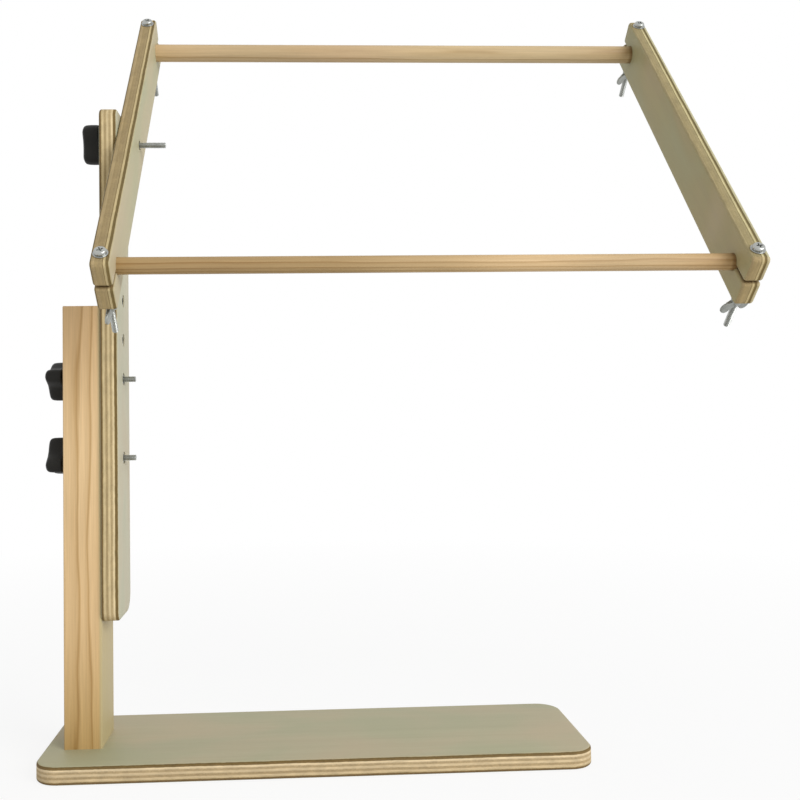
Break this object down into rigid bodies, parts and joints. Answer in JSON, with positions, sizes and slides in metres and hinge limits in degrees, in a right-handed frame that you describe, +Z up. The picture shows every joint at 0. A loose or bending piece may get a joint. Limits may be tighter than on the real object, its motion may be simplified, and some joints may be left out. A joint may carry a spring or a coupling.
{
  "type": "embroidery stand",
  "caption": "Freestanding embroidery stand: flat base, post, arm that slides up it, and a tilting frame of two side bars with rollers between them.",
  "frame": {"origin": "centre of the base board's underside, on the table", "axes": "+Z up, +X to the right seen from the front with the post at the left end, +Y to the back"},
  "size_m": [0.6952, 0.3675, 0.8236],
  "materials": {
    "plywood_face": "satin",
    "plywood_bar": "satin",
    "pine": "satin",
    "pine_rod": "satin",
    "black_plastic": "matte",
    "zinc": "satin"
  },
  "bodies": {
    "stand": {"base_board": "plywood_face", "post": "pine", "base_screw_front": "zinc", "base_screw_back": "zinc"},
    "arm": {"arm_board": "plywood_face", "arm_inserts": "zinc"},
    "frame": {"left_side_bar": "plywood_bar", "right_side_bar": "plywood_bar", "tilt_insert": "zinc", "left_front_clamp_screw": "zinc", "left_front_head_washer": "zinc", "left_front_nut_washer": "zinc", "left_back_clamp_screw": "zinc", "left_back_head_washer": "zinc", "left_back_nut_washer": "zinc", "right_front_clamp_screw": "zinc", "right_front_head_washer": "zinc", "right_front_nut_washer": "zinc", "right_back_clamp_screw": "zinc", "right_back_head_washer": "zinc", "right_back_nut_washer": "zinc"},
    "upper_height_grip": {"upper_height_knob": "black_plastic", "upper_height_stud": "zinc", "upper_height_washer": "zinc"},
    "lower_height_grip": {"lower_height_knob": "black_plastic", "lower_height_stud": "zinc", "lower_height_washer": "zinc"},
    "tilt_grip": {"tilt_knob": "black_plastic", "tilt_stud": "zinc", "tilt_washer": "zinc"},
    "front_roller": {"front_rod": "pine_rod"},
    "back_roller": {"back_rod": "pine_rod"},
    "left_front_nut": {"left_front_wing_nut": "zinc"},
    "left_back_nut": {"left_back_wing_nut": "zinc"},
    "right_front_nut": {"right_front_wing_nut": "zinc"},
    "right_back_nut": {"right_back_wing_nut": "zinc"}
  },
  "joints": [
    {"name": "height_slide", "type": "slide", "parent": "stand", "child": "arm", "axis": [0, 0, 1], "range_m": [-0.08, 0.04]},
    {"name": "frame_tilt", "type": "hinge", "parent": "arm", "child": "frame", "pos_m": [-0.1964, 0, 0.636], "axis": [1, 0, 0], "range_deg": [-108, 17]},
    {"name": "upper_height_knob_turn", "type": "hinge", "parent": "arm", "child": "upper_height_grip", "pos_m": [-0.2525, 0, 0.389], "axis": [1, 0, 0], "continuous": true},
    {"name": "lower_height_knob_turn", "type": "hinge", "parent": "arm", "child": "lower_height_grip", "pos_m": [-0.2525, 0, 0.307], "axis": [1, 0, 0], "continuous": true},
    {"name": "tilt_knob_turn", "type": "hinge", "parent": "arm", "child": "tilt_grip", "pos_m": [-0.2145, 0, 0.636], "axis": [1, 0, 0], "continuous": true},
    {"name": "front_rod_roll", "type": "hinge", "parent": "frame", "child": "front_roller", "pos_m": [0.1091, -0.13316, 0.48811], "axis": [1, 0, 0], "continuous": true},
    {"name": "back_rod_roll", "type": "hinge", "parent": "frame", "child": "back_roller", "pos_m": [0.1091, 0.13316, 0.78389], "axis": [1, 0, 0], "continuous": true},
    {"name": "left_front_nut_turn", "type": "hinge", "parent": "frame", "child": "left_front_nut", "pos_m": [-0.1874, -0.14453, 0.47548], "axis": [0, -0.7431, 0.6691], "continuous": true},
    {"name": "left_back_nut_turn", "type": "hinge", "parent": "frame", "child": "left_back_nut", "pos_m": [-0.1874, 0.14453, 0.79652], "axis": [0, -0.7431, 0.6691], "continuous": true},
    {"name": "right_front_nut_turn", "type": "hinge", "parent": "frame", "child": "right_front_nut", "pos_m": [0.4056, -0.14453, 0.47548], "axis": [0, -0.7431, 0.6691], "continuous": true},
    {"name": "right_back_nut_turn", "type": "hinge", "parent": "frame", "child": "right_back_nut", "pos_m": [0.4056, 0.14453, 0.79652], "axis": [0, -0.7431, 0.6691], "continuous": true}
  ]
}
